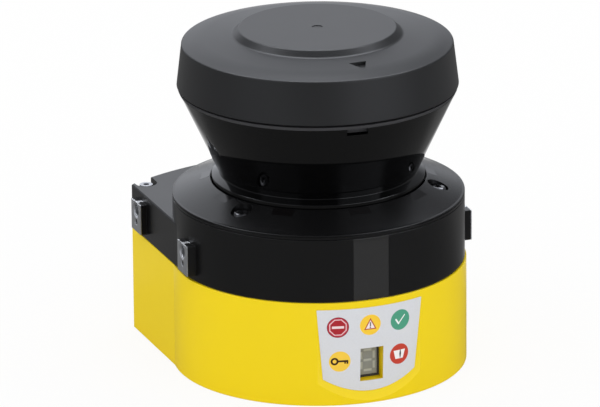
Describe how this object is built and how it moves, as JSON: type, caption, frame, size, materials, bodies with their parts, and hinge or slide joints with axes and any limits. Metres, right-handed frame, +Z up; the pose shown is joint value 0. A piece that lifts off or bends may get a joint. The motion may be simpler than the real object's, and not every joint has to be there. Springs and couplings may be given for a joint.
{
  "type": "safety laser scanner",
  "caption": "Safety laser scanner: yellow base with recessed display panel, black ring and rear box, dark conical optics cover and round cap over a spinning mirror.",
  "frame": {"origin": "on the scan axis, at the underside of the base housing that the scanner stands on", "axes": "+Z up along the scan axis, -Y out of the round front with the display panel, +Y out of the flat rear wall, +X to the right of someone behind the scanner who looks along the scan direction from the rear, which is the side with the service socket"},
  "size_m": [0.154, 0.1707, 0.1753],
  "materials": {
    "yellow_paint": "smooth yellow paint on a die casting, low gloss",
    "black_paint": "satin black paint on a die casting",
    "cap_plastic": "finely grained black plastic",
    "black_plastic": "smooth black plastic",
    "dark_cover": "polished plastic, dark to the eye and clear to infrared",
    "dark_window": "dark red-black filter plastic",
    "panel_print": "printed polyester film",
    "display_glass": "grey filter front",
    "clear_plastic": "clear moulding",
    "circuit_board": "glass-fibre board with green mask",
    "black_rubber": "moulded rubber",
    "zinc_steel": "zinc plated",
    "black_steel": "black oxide",
    "bearing_steel": "ground and polished",
    "core_steel": "laminated or sintered",
    "cast_alloy": "die-cast and machined",
    "black_alloy": "black anodised aluminium",
    "copper_wire": "enamelled copper wire",
    "brass_barrel": "turned brass",
    "lens_glass": "polished and coated",
    "mirror_coat": "front-surface silver"
  },
  "bodies": {
    "housing": {"base_housing": "yellow_paint", "upper_housing": "black_paint", "housing_seal": "black_rubber", "front_housing_screws": "zinc_steel", "rear_housing_screws": "zinc_steel", "panel_foil": "panel_print", "digit_display": "black_plastic", "digit_plate": "display_glass", "panel_lamps": "clear_plastic", "display_board": "circuit_board", "display_board_screws": "zinc_steel", "main_board": "circuit_board", "main_board_parts": "black_plastic", "main_board_screws": "zinc_steel", "board_link": "black_plastic", "head_board": "circuit_board", "head_board_parts": "black_plastic", "head_board_screws": "zinc_steel", "optics_chassis": "cast_alloy", "lens_holder": "black_alloy", "receiver_lens": "lens_glass", "receiver_board": "circuit_board", "photodiode": "black_plastic", "folding_mirror": "mirror_coat", "laser_module": "brass_barrel", "laser_clamp": "cast_alloy", "ring_cover": "black_plastic", "ring_cover_screws": "black_steel", "ring_windows": "dark_window", "optics_seal": "black_rubber", "optics_cover": "dark_cover", "head_column": "black_alloy", "head_column_screws": "zinc_steel", "head_ring": "black_plastic", "head_cap": "cap_plastic", "head_cap_screws": "zinc_steel", "motor_plate": "cast_alloy", "motor_can": "cast_alloy", "motor_can_screws": "zinc_steel", "motor_stator": "core_steel", "stator_coils": "copper_wire", "bearing_outer_rings": "bearing_steel", "bearing_balls": "bearing_steel", "encoder_sensor": "black_plastic", "system_plug": "black_plastic", "plug_seal": "black_rubber", "plug_screws": "zinc_steel", "plug_contacts": "brass_barrel", "blanking_plugs": "black_plastic", "blanking_seals": "black_rubber", "service_socket": "zinc_steel", "service_cap": "black_plastic"},
    "scan_rotor": {"bearing_inner_rings": "bearing_steel", "motor_magnet": "core_steel", "motor_shaft": "bearing_steel", "encoder_disc": "clear_plastic", "mirror_carrier": "black_alloy", "scan_mirror": "mirror_coat"}
  },
  "joints": [
    {"name": "mirror_spin", "type": "hinge", "parent": "housing", "child": "scan_rotor", "pos_m": [0, 0, 0.112], "axis": [0, 0, 1], "continuous": true}
  ]
}
